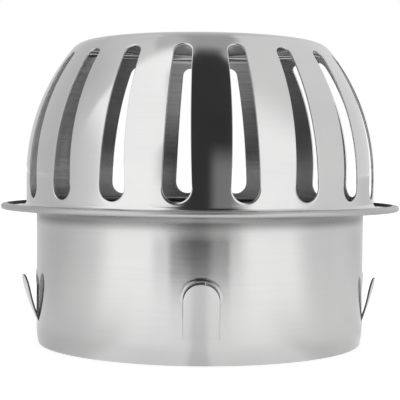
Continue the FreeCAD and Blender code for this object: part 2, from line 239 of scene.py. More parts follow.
def dome_wall(s, depth):
    """Radius and height of the dome's wall at a distance s up from its foot bend."""
    s = np.asarray(s, float)
    a = np.clip((s - WALL_RUN) / SIDE_R, 0, None)
    r = DOME_R - SIDE_R * (1 - np.cos(a)) - depth * np.cos(a)
    z = np.where(s < WALL_RUN, FOOT_TOP + s, SIDE_START + SIDE_R * np.sin(a) - depth * np.sin(a))
    return r, z


SLOT_FOOT_V = (SEAT + SLOT_FOOT_HEIGHT) * cos(PUNCH_TILT) - DOME_R * sin(PUNCH_TILT) + SLOT_FOOT_R
SLOT_HEAD_V = ((SIDE_START + SIDE_R * sin(SLOT_END_SWEEP)) * cos(PUNCH_TILT)
               - (DOME_R - SIDE_R * (1 - cos(SLOT_END_SWEEP))) * sin(PUNCH_TILT) - SLOT_HEAD_R)
SLOT_LEAN = asin((SLOT_FOOT_R - SLOT_HEAD_R) / (SLOT_HEAD_V - SLOT_FOOT_V))


def slot_angles():
    """Angles of the points on the slot's round ends, from straight down and from straight up."""
    flat = np.linspace(-QUARTER, QUARTER, 2 * ARC_STEPS + 1)
    foot_end = pi / 2 + SLOT_LEAN
    head_end = pi / 2 - SLOT_LEAN
    foot = np.concatenate([np.linspace(-foot_end, -QUARTER, ARC_STEPS + 1)[:-1], flat,
                           np.linspace(QUARTER, foot_end, ARC_STEPS + 1)[1:]])
    head = np.concatenate([np.linspace(-head_end, -QUARTER, ARC_STEPS + 1)[:-1], flat,
                           np.linspace(QUARTER, head_end, ARC_STEPS + 1)[1:]])
    return foot, head[::-1]


FOOT_ANGLES, HEAD_ANGLES = slot_angles()


def slot_outline(offset):
    """Points (u, v) of the slot's outline in the punch's plane, moved out of the slot by an offset."""
    t = np.linspace(0, 1, SLOT_SIDE_STEPS + 1)[1:-1]
    foot = np.stack([np.sin(FOOT_ANGLES), -np.cos(FOOT_ANGLES)])
    head = np.stack([np.sin(HEAD_ANGLES), np.cos(HEAD_ANGLES)])
    flank = np.stack([np.full_like(t, cos(SLOT_LEAN)), np.full_like(t, sin(SLOT_LEAN))])
    foot_at = np.array([[0.0], [SLOT_FOOT_V]]) + SLOT_FOOT_R * foot
    head_at = np.array([[0.0], [SLOT_HEAD_V]]) + SLOT_HEAD_R * head
    right_at = foot_at[:, -1:] + (head_at[:, :1] - foot_at[:, -1:]) * t
    mirror = np.array([[-1.0], [1.0]])
    points = np.concatenate([foot_at, right_at, head_at, right_at[:, ::-1] * mirror], axis=1)
    outward = np.concatenate([foot, flank, head, flank * mirror], axis=1)
    return points + outward * offset


def slot_roll_share():
    """Share of the full roll at each point of the outline."""
    foot = np.clip(np.cos(FOOT_ANGLES), 0, 1) ** ROLL_FALLOFF
    head = np.clip(np.cos(HEAD_ANGLES), 0, 1) ** ROLL_FALLOFF
    side = np.full(SLOT_SIDE_STEPS - 1, SLOT_SIDE_SHARE)
    foot = SLOT_SIDE_SHARE + (1 - SLOT_SIDE_SHARE) * foot
    head = SLOT_SIDE_SHARE + (SLOT_HEAD_SHARE - SLOT_SIDE_SHARE) * head
    return np.concatenate([foot, side, head, side])


def slot_on_wall(offset, depth):
    """Distance up the wall and bearing from the slot's middle, for each point of the outline."""
    u, v = slot_outline(offset)
    low = np.full(u.shape, -1.0)
    high = np.full(u.shape, WALL_RUN + SIDE_RUN + 3.0)
    for _ in range(50):
        middle = (low + high) / 2
        r, z = dome_wall(middle, depth)
        above = z * cos(PUNCH_TILT) - np.sqrt(r * r - u * u) * sin(PUNCH_TILT) > v
        high = np.where(above, middle, high)
        low = np.where(above, low, middle)
    r, _ = dome_wall(low, depth)
    return low, np.arcsin(u / r)


def slot_frame(start_s, left, right):
    """The outline's points carried out to the edges of the slot's share of the wall."""
    low, high = SLOT_BAND
    foot_count = len(FOOT_ANGLES)
    head_count = len(HEAD_ANGLES)
    side_count = SLOT_SIDE_STEPS - 1
    s = start_s.copy()
    delta = np.empty_like(s)
    foot = slice(0, foot_count)
    head = slice(foot_count + side_count, foot_count + side_count + head_count)
    delta[foot_count:foot_count + side_count] = right
    delta[foot_count + side_count + head_count:] = -left
    for part, angles, limit in ((foot, FOOT_ANGLES, low), (head, HEAD_ANGLES, high)):
        flat = np.abs(angles) <= QUARTER + TOUCH
        side = np.where(angles > 0, right, left)
        reach = np.where(flat, np.tan(np.clip(angles, -QUARTER, QUARTER)), np.sign(angles))
        delta[part] = side * reach
        corner = np.clip((np.abs(angles) - QUARTER) / (np.abs(angles).max() - QUARTER), 0, 1)
        s[part] = limit + (start_s[part][0] - limit) * corner
    return s, delta


def slot_bearings():
    """Bearings of the slots' middles."""
    return FIRST_SLOT + np.concatenate([[0], np.cumsum(SLOT_STEPS[:-1])])


def dome_columns():
    """Bearings of the mesh columns above and below the slots."""
    share = np.tan(np.linspace(-QUARTER, QUARTER, 2 * ARC_STEPS + 1))[:-1]
    columns = []
    for index, bearing in enumerate(slot_bearings()):
        left = SLOT_STEPS[index - 1] / 2
        right = SLOT_STEPS[index] / 2
        columns.extend(bearing + np.where(share < 0, left, right) * share)
    return np.array(columns)


def make_dome(materials):
    """The dome: a ring of slotted wall, its foot and flange below, its shoulder and crown above."""
    mesh = SheetMesh()
    share = slot_roll_share()
    outer_s, outer_delta = slot_on_wall(SLOT_ROLL[0] * share, 0)
    inner_s, inner_delta = slot_on_wall(INNER_BREAK, SHEET)
    rings = [(slot_on_wall(offset, depth), depth) for offset, depth in edge_layers(SLOT_ROLL, SHEET, share)]
    for index, bearing in enumerate(slot_bearings()):
        frame_s, frame_delta = slot_frame(outer_s, SLOT_STEPS[index - 1] / 2, SLOT_STEPS[index] / 2)
        layers = []
        for k in range(RIB_STEPS, -1, -1):
            t = (k / RIB_STEPS) ** RIB_CROWDING
            r, z = dome_wall(outer_s + (frame_s - outer_s) * t, 0)
            layers.append(around(r, z, bearing + outer_delta + (frame_delta - outer_delta) * t))
        for (s, delta), depth in rings:
            r, z = dome_wall(s, depth)
            layers.append(around(r, z, bearing + delta))
        mesh.grid(layers, closed=True)
        layers = layers[-1:]
        for k in range(1, INNER_RIB_STEPS + 1):
            t = (k / INNER_RIB_STEPS) ** INNER_RIB_CROWDING
            r, z = dome_wall(inner_s + (frame_s - inner_s) * t, SHEET)
            layers.append(around(r, z, bearing + inner_delta + (frame_delta - inner_delta) * t))
        mesh.grid(layers, closed=True, slot=INNER)
    columns = dome_columns()

    def strip(path, slot=OUTER):
        path = np.array(path)
        mesh.grid(around(path[:, :1], path[:, 1:], columns[None, :]), closed=True, slot=slot)

    bend_at = (DOME_R + FOOT_BEND, FOOT_TOP)
    top = SEAT + SHEET
    band_foot = FOOT_TOP + SLOT_BAND[0]
    skirt = [(DOME_R, band_foot), (DOME_R, FOOT_TOP)]
    skirt += arc(bend_at, FOOT_BEND, pi, 1.5 * pi, 10)
    strip(skirt)
    skirt = [skirt[-1], (bend_at[0] + FOOT_ROW, top)]
    skirt += run(skirt[-1], (DOME_FLANGE_R - 2 * RIM_ROUND, top), 6)
    skirt += [(DOME_FLANGE_R - RIM_ROUND, top)]
    skirt += arc((DOME_FLANGE_R - RIM_ROUND, top - RIM_ROUND), RIM_ROUND, pi / 2, 0, 5)
    skirt += [(DOME_FLANGE_R, SEAT + RIM_ROUND)]
    skirt += arc((DOME_FLANGE_R - RIM_ROUND, SEAT + RIM_ROUND), RIM_ROUND, 0, -pi / 2, 5)
    skirt += run(skirt[-1], (bend_at[0], SEAT), 4)
    strip(skirt, FLANGE)
    strip([(bend_at[0], SEAT)] + arc(bend_at, FOOT_BEND + SHEET, 1.5 * pi, pi, 6)
          + [(DOME_R - SHEET, band_foot)], INNER)
    side_at = (DOME_R - SIDE_R, SIDE_START)
    shoulder_at = (side_at[0] + (SIDE_R - SHOULDER_R) * cos(SIDE_SWEEP),
                   side_at[1] + (SIDE_R - SHOULDER_R) * sin(SIDE_SWEEP))
    crown_at = (0.0, shoulder_at[1] - sqrt((CROWN_R - SHOULDER_R) ** 2 - shoulder_at[0] ** 2))
    crown_angle = pi / 2 - asin(shoulder_at[0] / (CROWN_R - SHOULDER_R))
    for depth, slot in ((0.0, OUTER), (SHEET, CROWN_INSIDE)):
        r, z = dome_wall(WALL_RUN + SIDE_RUN, depth)
        cap = [(float(r), float(z))]
        cap += arc(shoulder_at, SHOULDER_R - depth, SIDE_SWEEP, crown_angle, 14)
        cap += arc(crown_at, CROWN_R - depth, crown_angle, pi / 2, 18)
        strip(cap, slot)
    return mesh.build("slotted_dome", materials)


# Collar

PATCH_HALF = radians(11.0)
PATCH_LOW = LEAD_IN_HEIGHT + 0.1
PATCH_HIGH = 25.0
TAB_COLUMNS = 12
WINDOW_SIDE_STEPS = 18
WINDOW_STEPS = 9
PLAIN_COLUMNS = 42
TAB_SIDE_STEPS = 20
TAB_CAP_STEPS = 8
WINDOW_HALF = WINDOW_WIDTH / 2
WINDOW_SPRING = WINDOW_ROOT + WINDOW_HEIGHT - WINDOW_HALF
TAB_HALF = WINDOW_HALF - SIDE_GAP
ARCH_STEPS = 6
SILL_COLUMNS = range(TAB_COLUMNS)
SILL_EASE = 0.9


def ease_from_root(z):
    """Rises from 0 at the sill to 1 just above it, where a cut edge takes its full rounding."""
    t = np.clip((np.asarray(z) - WINDOW_ROOT) / SILL_EASE, 0, 1)
    return t * t * (3 - 2 * t)


def arch_angles():
    """Angles from straight up, from the right springing of the arch to the left one."""
    rise = np.linspace(pi / 2, QUARTER, ARCH_STEPS + 1)[:-1]
    return np.concatenate([rise, np.linspace(QUARTER, -QUARTER, 2 * ARCH_STEPS + 1), -rise[::-1]])


ARCH_ANGLES = arch_angles()


def window_heights():
    """Heights of the points up a window's side, from its sill to its springing, both left out."""
    t = np.linspace(0, 1, WINDOW_SIDE_STEPS + 1)
    return (WINDOW_ROOT + (WINDOW_SPRING - WINDOW_ROOT) * t ** SILL_CROWDING)[1:-1]


def window_roll_share():
    """Share of the full roll at each point of a window's outline: most at the top of its arch."""
    arch = np.clip(np.cos(ARCH_ANGLES), 0, 1) ** ROLL_FALLOFF
    arch = WINDOW_SIDE_SHARE + (1 - WINDOW_SIDE_SHARE) * arch
    sill = np.full(TAB_COLUMNS + 2, WINDOW_SIDE_SHARE)
    side = np.full(WINDOW_SIDE_STEPS - 1, WINDOW_SIDE_SHARE)
    return np.concatenate([sill, side, arch, side, [WINDOW_SIDE_SHARE]])


def window_outline(offset):
    """Points (u, z) round a window: sill with the tab's columns, right side, arch and left side."""
    sill_u = np.linspace(-TAB_HALF, TAB_HALF, TAB_COLUMNS + 1)
    side_z = window_heights()
    offset = np.broadcast_to(offset, len(WINDOW_SHARE))
    arch_at = TAB_COLUMNS + 2 + len(side_z)
    arch_half = WINDOW_HALF + offset[arch_at:arch_at + len(ARCH_ANGLES)]
    side_u = WINDOW_HALF + offset[TAB_COLUMNS + 2:arch_at] * ease_from_root(side_z)
    arch_u = arch_half * np.sin(ARCH_ANGLES)
    arch_z = WINDOW_SPRING + arch_half * np.cos(ARCH_ANGLES)
    u = np.concatenate([sill_u, [WINDOW_HALF], side_u, arch_u, -side_u[::-1], [-WINDOW_HALF]])
    z = np.concatenate([np.full(len(sill_u), WINDOW_ROOT), [WINDOW_ROOT], side_z, arch_z, side_z[::-1],
                        [WINDOW_ROOT]])
    return u, z


WINDOW_SHARE = window_roll_share()


def lip_rise(away):
    """How far the wall is dragged out at a distance from a window's edge."""
    t = np.clip(away / LANCE_LIP_WIDTH, 0, 1)
    share = (WINDOW_SHARE - WINDOW_SIDE_SHARE) / (1 - WINDOW_SIDE_SHARE)
    return LANCE_LIP * share * (1 - t) ** 2 * (1 + 2 * t)


def window_frame():
    """The outline's points carried out to the edges of the window's patch of the sleeve."""
    u, z = window_outline(0)
    sill = TAB_COLUMNS + 2
    side = WINDOW_SIDE_STEPS - 1
    rise = (WINDOW_SPRING - PATCH_LOW) / (WINDOW_SPRING - WINDOW_ROOT)
    frame_z = PATCH_LOW + (z - WINDOW_ROOT) * rise
    delta = np.sign(u) * PATCH_HALF
    delta[:sill] = u[:sill] / WINDOW_HALF * PATCH_HALF
    arch = slice(sill + side, sill + side + len(ARCH_ANGLES))
    flat = np.abs(ARCH_ANGLES) <= QUARTER + TOUCH
    reach = np.where(flat, np.tan(np.clip(ARCH_ANGLES, -QUARTER, QUARTER)), np.sign(ARCH_ANGLES))
    delta[arch] = PATCH_HALF * reach
    corner = np.clip((np.abs(ARCH_ANGLES) - QUARTER) / QUARTER, 0, 1)
    frame_z[arch] = PATCH_HIGH + (WINDOW_SPRING - PATCH_HIGH) * corner
    return delta, frame_z


def tab_grid(inset, lean, curve):
    """Points (u, z) over a tab's face, from its root up to its round tip, drawn in from its edge."""
    across = np.linspace(-1, 1, TAB_COLUMNS + 1)
    turn = (WINDOW_HEIGHT - TIP_GAP - TAB_BEND * lean) / curve
    reach = TAB_BEND * sin(lean) + curve * (sin(lean) - sin(lean - turn))
    spring = WINDOW_ROOT + reach - TAB_HALF
    side_z = WINDOW_ROOT + (spring - WINDOW_ROOT) * np.linspace(0, 1, TAB_SIDE_STEPS + 1) ** ROOT_CROWDING
    rows = []
    for z in side_z:
        half = TAB_HALF - inset * ease_from_root(z)
        rows.append(np.stack([across * half, np.full_like(across, z)], axis=-1))
    half = TAB_HALF - inset
    for b in np.linspace(0, 1, TAB_CAP_STEPS + 1)[1:]:
        u = across * np.sqrt(1 - b * b / 2) * half
        z = spring + b * np.sqrt(1 - across ** 2 / 2) * half
        rows.append(np.stack([u, z], axis=-1))
    return np.array(rows)


def place_height(z, form):
    """Move heights on a window or tab from the drawing's place to this tab's own."""
    return WINDOW_ROOT - form.drop + (z - WINDOW_ROOT) * form.height


def tab_wall(inset, depth, bearing, form):
    """Points over a tab's face at a depth: it bends out of the sleeve and then curves back up."""
    lean, curve = form.lean, form.curve
    u, z = np.moveaxis(tab_grid(inset, lean, curve), -1, 0)
    rise = z - WINDOW_ROOT
    bend = TAB_BEND + depth
    bend_r = SLEEVE_R + TAB_BEND - bend * np.cos(np.arcsin(np.clip(rise / bend, 0, sin(lean))))
    below = (TAB_BEND + curve) * sin(lean) - rise
    blade_r = (SLEEVE_R + TAB_BEND - (TAB_BEND + curve) * cos(lean)
               + np.sqrt(np.clip((curve - depth) ** 2 - below ** 2, 0, None)))
    r = np.where(rise < bend * sin(lean), bend_r, blade_r)
    r = r + (u - TAB_HALF) * tan(form.twist) * np.clip(rise / WINDOW_HEIGHT, 0, 1) ** TWIST_GROWTH
    return around(r, place_height(z, form), bearing + np.arcsin(u / r))


def tab_edge(grid):
    """Points along a tab's edge, up its left side, over its tip and down its right side."""
    return np.concatenate([grid[:-1, 0], grid[-1, :], grid[-2::-1, -1]])


def make_collar(materials):
    """The collar: a ring of wall with windows and tabs, the bend and folded flange above, the rim below."""
    mesh = SheetMesh()
    window_edges = [(WINDOW_ROLL[0] * WINDOW_SHARE, 0.0)] + edge_layers(WINDOW_ROLL, SHEET, WINDOW_SHARE)
    tab_edges = [(TAB_ROLL[0], 0.0)] + edge_layers(TAB_ROLL, SHEET)
    frame_delta, frame_z = window_frame()
    bearings = FIRST_TAB + np.concatenate([[0], np.cumsum(TAB_STEPS[:-1])])
    side = slice(TAB_COLUMNS + 1, TAB_COLUMNS + 1 + WINDOW_SIDE_STEPS + ARCH_STEPS + 1)
    side_z = frame_z[side]
    plain_share = np.linspace(0, 1, PLAIN_COLUMNS + 1)
    plains = [PATCH_HALF + (step - 2 * PATCH_HALF) * plain_share for step in TAB_STEPS]
    for bearing, form, plain in zip(bearings, TAB_FORMS, plains):
        for outward, roll in ((True, WINDOW_ROLL[0] * WINDOW_SHARE), (False, INNER_BREAK)):
            depth = 0.0 if outward else SHEET
            u, z = window_outline(roll)
            z = place_height(z, form)
            delta = np.arcsin(u / (SLEEVE_R - depth))
            away = np.hypot(SLEEVE_R * (frame_delta - delta), frame_z - z)
            layers = []
            for k in range(WINDOW_STEPS + 1):
                t = (k / WINDOW_STEPS) ** WINDOW_CROWDING
                lip = lip_rise(away * t) if outward else 0.0
                layers.append(around(SLEEVE_R - depth + lip, z + (frame_z - z) * t,
                                     bearing + delta + (frame_delta - delta) * t))
            mesh.grid(layers, closed=True, slot=OUTER if outward else INNER)
            mesh.grid(around(SLEEVE_R - depth, side_z[:, None], bearing + plain[None, :]), closed=False,
                      slot=OUTER if outward else INNER)
        rings = []
        for offset, depth in window_edges:
            u, z = window_outline(offset)
            z = place_height(z, form)
            lip = lip_rise(0.0) * (1 - depth / SHEET)
            rings.append(around(SLEEVE_R - depth + lip, z, bearing + np.arcsin(u / (SLEEVE_R - depth))))
        mesh.grid(rings, closed=True, skip=SILL_COLUMNS)
        mesh.grid(tab_wall(TAB_ROLL[0], 0.0, bearing, form), closed=False)
        mesh.grid(tab_wall(INNER_BREAK, SHEET, bearing, form), closed=False, slot=INNER)
        rings = [tab_edge(tab_wall(offset, depth, bearing, form)) for offset, depth in tab_edges]
        # All tabs' cut edges but the front one's take painted shade on top of their own dull grey.
        mesh.grid(rings, closed=False, slot=OUTER if form is TAB_FORMS[0] else SHADED_CUT)
    top_share = np.tan(np.linspace(-QUARTER, QUARTER, 2 * ARCH_STEPS + 1)) * PATCH_HALF
    low_share = np.concatenate([[-PATCH_HALF], frame_delta[:TAB_COLUMNS + 2]])

    def columns(share):
        return np.concatenate([np.concatenate([b + share[:-1], b + plain[:-1]])
                               for b, plain in zip(bearings, plains)])

    def strip(path, share, slot=OUTER):
        path = np.array(path)
        mesh.grid(around(path[:, :1], path[:, 1:], columns(share)[None, :]), closed=True, slot=slot)

    bend_at = (SLEEVE_R + COLLAR_BEND, SEAT - SHEET - COLLAR_BEND)
    under = SEAT - SHEET
    upper = [(SLEEVE_R, PATCH_HIGH)]
    upper += run(upper[-1], (SLEEVE_R, bend_at[1] - COLLAR_ROW), 6) + [(SLEEVE_R, bend_at[1])]
    upper += arc(bend_at, COLLAR_BEND, pi, pi / 2, 12)
    upper += [(bend_at[0] + COLLAR_ROW, under)]
    upper += run(upper[-1], (HEM_END_R, under), 6)
    strip(upper, top_share)
    leg_top = SEAT + 2 * SHEET + HEM_GAP
    leg_under = SEAT + SHEET + HEM_GAP
    hem = upper[-1:]
    hem += swell(hem[-1], (HEM_AT[0], HEM_AT[1] - HEM_R), 6)
    hem += arc(HEM_AT, HEM_R, -pi / 2, pi / 2, 18)
    hem += swell(hem[-1], (HEM_END_R + INNER_BREAK, leg_top), 6)
    hem += arc((HEM_END_R + INNER_BREAK, leg_top - INNER_BREAK), INNER_BREAK, pi / 2, pi, 4)
    strip(hem, top_share, FLANGE)
    # The leg's end face takes painted shade, nearly black, in the crevice.
    strip([hem[-1], (HEM_END_R, leg_under + INNER_BREAK), (HEM_END_R, leg_under)], top_share, SHADED_STEP)
    fold_r = HEM_AT[0] + FOLD_ROOM
    fold = [(HEM_END_R, leg_under), (fold_r, leg_under), (fold_r, SEAT)]
    strip(fold + run(fold[-1], (bend_at[0], SEAT), 4), top_share, INNER)
    strip([(bend_at[0], SEAT)] + arc(bend_at, COLLAR_BEND + SHEET, pi / 2, pi, 8)
          + run((SLEEVE_R - SHEET, bend_at[1]), (SLEEVE_R - SHEET, PATCH_HIGH), 5), top_share, INNER)
    curl = (LEAD_IN_HEIGHT ** 2 + LEAD_IN_SETBACK ** 2) / (2 * LEAD_IN_SETBACK)
    curl_at = (SLEEVE_R - curl, LEAD_IN_HEIGHT)
    rim = LOWER_RIM_ROUND
    outer_end = asin((LEAD_IN_HEIGHT - rim) / curl)
    inner_end = asin((LEAD_IN_HEIGHT - rim) / (curl - SHEET))
    lower = [(SLEEVE_R, PATCH_LOW), (SLEEVE_R, LEAD_IN_HEIGHT)]
    lower += arc(curl_at, curl, 0, -outer_end, 12)
    lower += arc((lower[-1][0] - rim, rim), rim, 0, -pi / 2, 4)
    inner_foot = (curl_at[0] + (curl - SHEET) * cos(inner_end), rim)
    lower += arc((inner_foot[0] + rim, rim), rim, -pi / 2, -pi, 4)
    strip(lower, low_share)
    inner = [lower[-1]]
    inner += arc(curl_at, curl - SHEET, -inner_end, 0, 8)
    inner += [(SLEEVE_R - SHEET, PATCH_LOW)]
    strip(inner, low_share, INNER)
    return mesh.build("tabbed_collar", materials)


# Materials

# The middle part of a noise, which is spread over a range of tones or gloss, and its roughness.
NOISE_MIDDLE = (0.3, 0.7)
NOISE_ROUGHNESS = 0.55
# Scales of the noises, for each axis: slow patches, fine lines round the axis, and slow waves of the sheet.
PATCHES = (30.0, (1, 1, 1.4))
RINGS = (1.0, (25, 25, 3200))
WAVES = (55.0, (1, 1, 0.6))
# Painted shade under the flange darkens the collar's bend and the top of the sleeve, between heights and out
# to a reach from the axis, in metres.
PAINTED_SHADE_HEIGHTS = (0.0348, 0.0378)
PAINTED_SHADE_REACH = (0.0505, 0.053)
PAINTED_SHADE_REACH_SHARES = (1.0, 0.5)
PAINTED_SHADE_COLOUR = (0.47, 0.47, 0.47, 1)
ROUGH_HEIGHTS = (0.032, 0.036)
ROUGH_GAIN = 0.13
# Turns the stretch of the highlights to run up and down the wall.
UPRIGHT = 0.25


class Graph:
    """A node tree, with short ways to add the nodes that this scene uses."""

    def __init__(self, tree):
        self.nodes = tree.nodes
        self.links = tree.links

    def new(self, kind):
        return self.nodes.new("ShaderNode" + kind)

    def feed(self, value, socket):
        """Set a socket to a plain number or vector, or link another socket to it."""
        if isinstance(value, (int, float, tuple)):
            socket.default_value = value
        else:
            self.links.new(value, socket)

    def calc(self, operation, *values):
        """A maths node whose inputs are sockets or plain numbers."""
        node = self.new("Math")
        node.operation = operation
        for socket, value in zip(node.inputs, values):
            self.feed(value, socket)
        return node.outputs["Value"]

    def vector(self, operation, *values):
        """A vector maths node whose inputs are sockets or plain vectors."""
        node = self.new("VectorMath")
        node.operation = operation
        for socket, value in zip(node.inputs, values):
            self.feed(value, socket)
        return node.outputs["Value" if operation == "LENGTH" else "Vector"]

    def split(self, vector):
        """The x, y and z of a vector."""
        node = self.new("SeparateXYZ")
        self.links.new(vector, node.inputs["Vector"])
        return tuple(node.outputs[axis] for axis in "XYZ")

    def fade(self, source, start, end, low=0.0, high=1.0):
        """A smooth change from low, where the source is at start, to high, where it is at end."""
        node = self.new("MapRange")
        node.interpolation_type = "SMOOTHSTEP"
        self.feed(start, node.inputs["From Min"])
        node.inputs["From Max"].default_value = end
        node.inputs["To Min"].default_value = low
        node.inputs["To Max"].default_value = high
        self.links.new(source, node.inputs["Value"])
        return node.outputs["Result"]

    def turn(self, angle, degrees, low=0.0, high=1.0):
        """A fade by an angle, from the first number of degrees to the second."""
        start, end = map(radians, degrees)
        return self.fade(angle, start, end, low, high)

    def between(self, share, low, high):
        """A value that goes from low to high as the share goes from 0 to 1."""
        rise = self.calc("SUBTRACT", high, low)
        return self.calc("MULTIPLY_ADD", share, rise, low)

    def noise(self, scale, stretch, detail=3.0):
        """Noise in the object's own frame, stretched by a scale for each axis."""
        mapping = self.new("Mapping")
        mapping.inputs["Scale"].default_value = stretch
        texture = self.new("TexNoise")
        texture.inputs["Scale"].default_value = scale
        texture.inputs["Detail"].default_value = detail
        texture.inputs["Roughness"].default_value = NOISE_ROUGHNESS
        self.links.new(self.new("TexCoord").outputs["Object"], mapping.inputs["Vector"])
        self.links.new(mapping.outputs["Vector"], texture.inputs["Vector"])
        return texture.outputs["Fac"]

    def spread(self, source, low, high):
        """Map the middle of a noise onto a range of values."""
        node = self.new("MapRange")
        node.inputs["From Min"].default_value = NOISE_MIDDLE[0]
        node.inputs["From Max"].default_value = NOISE_MIDDLE[1]
        node.inputs["To Min"].default_value = low
        node.inputs["To Max"].default_value = high
        self.links.new(source, node.inputs["Value"])
        return node.outputs["Result"]

    def tone(self, source, dark, light):
        """Map the middle of a noise onto the colours from dark to light."""
        ramp = self.new("ValToRGB")
        for element, position, colour in zip(ramp.color_ramp.elements, NOISE_MIDDLE, (dark, light)):
            element.position = position
            element.color = colour + (1,)
        self.links.new(source, ramp.inputs["Fac"])
        return ramp.outputs["Color"]

    def bump(self, height, distance, under=None):
        """A normal that follows a height, on top of another normal if one is given."""
        node = self.new("Bump")
        node.inputs["Strength"].default_value = 1.0
        node.inputs["Distance"].default_value = distance
        self.links.new(height, node.inputs["Height"])
        if under is not None:
            self.links.new(under, node.inputs["Normal"])
        return node.outputs["Normal"]


def new_material(name):
    """A material, the graph of its nodes and its shader."""
    material = bpy.data.materials.new(name)
    material.use_nodes = True
    graph = Graph(material.node_tree)
    return material, graph, graph.nodes["Principled BSDF"]


def shade_and_roughen_under_flange(graph, colour, roughness):
    """Paint shade into the collar's colour at its bend and the top of the sleeve, under the flange, and
    roughen them there.
    """
    x, y, z = graph.split(graph.new("TexCoord").outputs["Object"])
    squares = graph.calc("MULTIPLY_ADD", x, x, graph.calc("MULTIPLY", y, y))
    near = graph.fade(graph.calc("SQRT", squares), *PAINTED_SHADE_REACH, *PAINTED_SHADE_REACH_SHARES)
    mix = graph.new("Mix")
    mix.data_type = "RGBA"
    mix.blend_type = "MULTIPLY"
    factor, base, shaded = (mix.inputs[index] for index in (0, 6, 7))
    graph.links.new(graph.calc("MULTIPLY", graph.fade(z, *PAINTED_SHADE_HEIGHTS), near), factor)
    graph.links.new(colour, base)
    shaded.default_value = PAINTED_SHADE_COLOUR
    roughness = graph.calc("MULTIPLY_ADD", graph.fade(z, *ROUGH_HEIGHTS), ROUGH_GAIN, roughness)
    return mix.outputs[2], roughness


def grey(level, drop=0.0):
    """A grey, with a little less blue if asked for."""
    return level, level, level - drop


def steel(name, dark, light, gloss, wave, line, streak, placed_shade=None, stretch=0.0):
    """Stainless sheet: tone and gloss drift slowly, and fine lines run round the drain's axis.

    Gloss is a range of roughness, wave and line are heights in metres, and streak is the lines' share of the
    tone. Placed shade, if given, paints shade into the colour and changes roughness by place, and a stretch
    draws the highlights out.
    """
    material, graph, shader = new_material(name)
    shader.inputs["Metallic"].default_value = 1.0
    patches = graph.noise(*PATCHES)
    rings = graph.noise(*RINGS, detail=2.0)
    colour = graph.tone(graph.between(streak, patches, rings), dark, light)
    roughness = graph.spread(patches, *gloss)
    if placed_shade is not None:
        colour, roughness = placed_shade(graph, colour, roughness)
    graph.links.new(colour, shader.inputs["Base Color"])
    graph.links.new(roughness, shader.inputs["Roughness"])
    waves = graph.bump(graph.noise(*WAVES, detail=1.0), wave)
    graph.links.new(graph.bump(rings, line, waves), shader.inputs["Normal"])
    if stretch:
        shader.inputs["Anisotropic"].default_value = stretch
        shader.inputs["Anisotropic Rotation"].default_value = UPRIGHT
        tangent = graph.new("Tangent")
        tangent.direction_type = "RADIAL"
        tangent.axis = "Z"
        graph.links.new(tangent.outputs["Tangent"], shader.inputs["Tangent"])
    return material


polished = steel("polished_steel", grey(0.56), grey(0.62, 0.005), gloss=(0.07, 0.12),
                 wave=2.5e-5, line=2e-6, streak=0.2)
mill = steel("mill_steel", grey(0.29), grey(0.47), gloss=(0.2, 0.3),
             wave=4e-5, line=1.4e-5, streak=0.7)
crown_inside = steel("crown_inside_steel", grey(0.4), grey(0.48), gloss=(0.07, 0.12),
                     wave=2e-5, line=2e-6, streak=0.3)
flange_steel = steel("flange_steel", grey(0.56), grey(0.62, 0.005), gloss=(0.03, 0.06),
                     wave=1e-6, line=1e-6, streak=0.2)
# Cut edges: near black, partly the sheared edge's own dull grey and partly painted shade.
cut_edge_shade_steel = steel("cut_edge_shade_steel", grey(0.08), grey(0.15), gloss=(0.35, 0.45),
                  wave=1e-5, line=2e-6, streak=0.2)
# The end face of the fold's leg: painted shade, nearly black, in the crevice above the dome's flange.
shaded_step_steel = steel("shaded_step_steel", grey(0.01), grey(0.03), gloss=(0.4, 0.5),
                   wave=1e-5, line=2e-6, streak=0.2)
rim_steel = steel("rim_steel", grey(0.41), grey(0.5, 0.005), gloss=(0.36, 0.42),
                  wave=2e-5, line=2e-6, streak=0.3)
# The satin collar carries painted shade at its bend, under the flange.
satin = steel("satin_steel", grey(0.525), grey(0.585, 0.005), gloss=(0.12, 0.17),
              wave=3e-5, line=3e-6, streak=0.3, placed_shade=shade_and_roughen_under_flange, stretch=0.8)

dome = make_dome([polished, mill, crown_inside, flange_steel])
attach(dome, "root")
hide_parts("dome_grate")

collar = make_collar([satin, mill, cut_edge_shade_steel, rim_steel, shaded_step_steel])
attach(collar, "root")
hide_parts("pipe_collar")

# Floor, tent and lights

# The tent is what reflections show of the world. A bearing is 0 on the camera's side and grows to the right;
# a climb is 0 on the camera's side, 90 overhead and 180 at the back. Pairs of degrees, and of a direction's
# x or z, say where a change starts and ends; pairs of levels say from what to what it goes.
LEFT_BACK_END = (-110, -70)
LEFT_BACK_RISE = (0.6, 0.85)
LEFT_BACK_LEVELS = (0.72, 0.86)
RIGHT_TURN = (145, 175)
FLOOR_RIGHT_TURN = (105, 140)
RIGHT_LEVELS = (0.95, 0.75)
# The two bright sides: how much each adds, where it starts and ends across, and at which climb it stops.
TentSide = namedtuple("TentSide", "gain inner outer top")
TENT_SIDES = (
    TentSide(0.45, (-0.05, -0.15), (-0.98, -0.82), (75, 83)),
    TentSide(0.42, (0.05, 0.15), (1.0, 0.86), (25, 70)),
)

# The grey panel overhead: its left and right ends, how it narrows towards the back, the climb that it starts
# at, which is lower on the right, and its levels across and at the back.
PANEL_LEFT = (-0.4, -0.35)
PANEL_RIGHT = (0.24, 0.36)
PANEL_NARROWS = (85, 135)
PANEL_NARROWING = (1.0, 2.4)
PANEL_START = (79, 85)
PANEL_SLANT = (-0.22, -0.1)
PANEL_SLANT_ANGLE = radians(8)
PANEL_ACROSS = (-0.2, -0.05)
PANEL_ACROSS_LEVELS = (0.7, 0.5)
PANEL_BACK = (90, 160)
PANEL_BACK_LEVEL = 0.8

